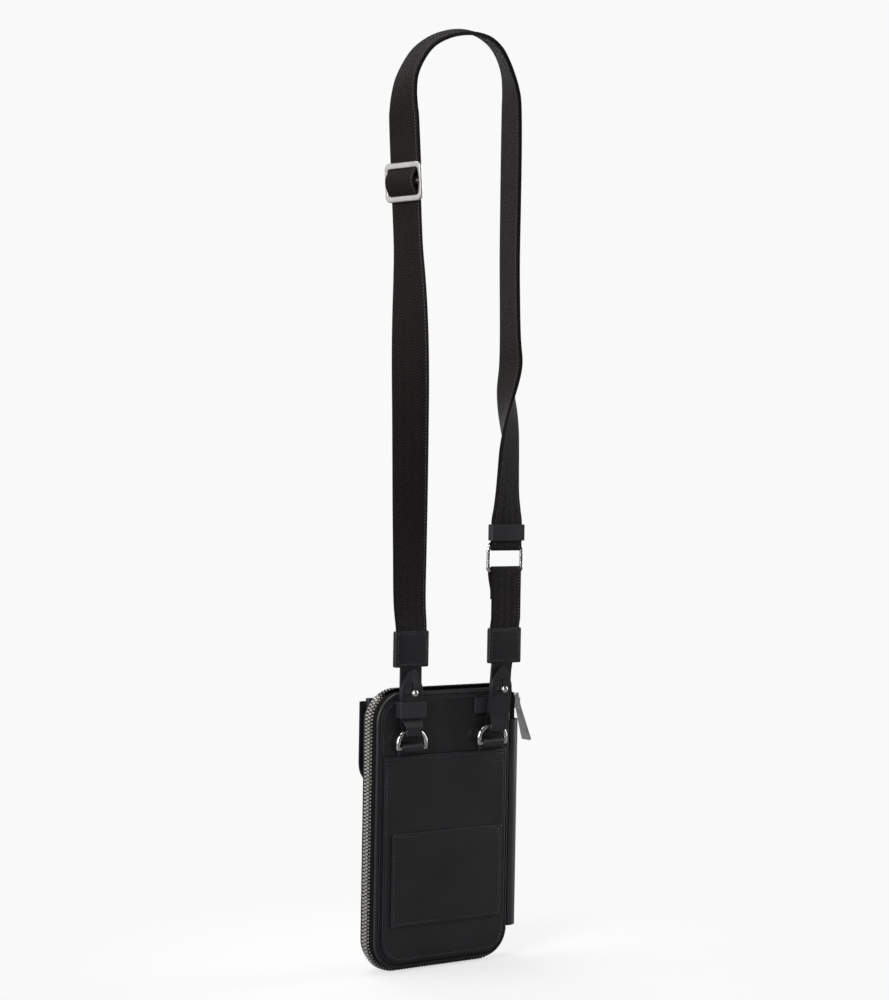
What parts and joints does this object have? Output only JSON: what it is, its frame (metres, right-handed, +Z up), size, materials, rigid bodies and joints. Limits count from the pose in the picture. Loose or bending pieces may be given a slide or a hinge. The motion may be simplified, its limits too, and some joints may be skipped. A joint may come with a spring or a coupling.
{
  "type": "phone pouch",
  "caption": "Zip-around leather phone pouch with back pockets and a front flap, hung by two D-rings from an adjustable webbing strap with leather end caps.",
  "frame": {"origin": "underside of the webbing at the top of the strap's arch, where the pouch hangs", "axes": "+X across the pouch, to the spine and zip slider; +Y from the visible back panel to the front flap; +Z up along the strap"},
  "size_m": [0.1362, 0.0423, 0.6372],
  "materials": {
    "leather": "satin",
    "webbing": "matte",
    "steel": "polished",
    "teeth": "satin",
    "zip_tape": "matte",
    "board": "matte",
    "lining": "matte"
  },
  "bodies": {
    "strap": {"strap_webbing": "webbing", "webbing_return": "webbing", "webbing_return_end": "webbing", "strap_end_cap_left": "leather", "strap_end_cap_right": "leather", "strap_tab_left": "leather", "strap_tab_right": "leather", "tab_stud_left": "steel", "tab_stud_right": "steel", "strap_keeper": "leather", "strap_ring": "steel", "lower_webbing": "webbing"},
    "strap_slider": {"length_slider": "steel", "slider_webbing": "webbing", "slider_bar_loop": "webbing"},
    "d_rings": {"d_ring_left": "steel", "d_ring_right": "steel"},
    "pouch": {"back_panel": "leather", "back_rim": "leather", "back_slip_pocket": "leather", "card_pocket": "leather", "keeper_left": "leather", "keeper_right": "leather", "ring_tab_left": "leather", "ring_tab_right": "leather", "spine": "leather", "back_tape": "zip_tape", "back_teeth": "teeth", "corner_tape": "zip_tape", "corner_teeth": "teeth", "back_board": "board", "back_lining": "lining", "phone_pocket": "lining"},
    "zip_slider": {"zip_slider": "steel"},
    "zip_pull": {"zip_pull": "steel"},
    "case_front": {"front_panel": "leather", "front_rim": "leather", "front_tape": "zip_tape", "front_teeth": "teeth", "front_pocket": "leather", "front_board": "board", "front_lining": "lining", "card_slots": "lining", "flap_anchor": "leather", "snap_base": "steel"},
    "flap": {"front_flap": "leather", "snap_cap": "steel"}
  },
  "joints": [
    {"name": "slider_travel", "type": "slide", "parent": "strap", "child": "strap_slider", "axis": [-0.0673, 0, 0.9977], "range_m": [-0.025, 0.012], "deforming": ["webbing_return_end"]},
    {"name": "d_rings_swing", "type": "hinge", "parent": "strap", "child": "d_rings", "pos_m": [-0.03799, -0.00336, -0.46864], "axis": [1, 0, 0], "range_deg": [0, 1.5]},
    {"name": "pouch_swing", "type": "hinge", "parent": "d_rings", "child": "pouch", "pos_m": [-0.03799, -0.00336, -0.47964], "axis": [1, 0, 0], "range_deg": [0, 1]},
    {"name": "zip_travel", "type": "hinge", "parent": "pouch", "child": "zip_slider", "pos_m": [0.04501, 0.01054, -0.45299], "axis": [0, -1, 0], "range_deg": [0, 86]},
    {"name": "zip_pull_swing", "type": "hinge", "parent": "zip_slider", "child": "zip_pull", "pos_m": [0.06175, 0.01054, -0.45475], "axis": [0, 1, 0], "range_deg": [-100, 18]},
    {"name": "case_open", "type": "hinge", "parent": "pouch", "child": "case_front", "pos_m": [0.04946, 0.01954, -0.53579], "axis": [0, 0, -1], "range_deg": [0, 75]},
    {"name": "flap_open", "type": "hinge", "parent": "case_front", "child": "flap", "pos_m": [-0.00649, 0.02474, -0.45064], "axis": [1, 0, 0], "range_deg": [0, 150]}
  ]
}
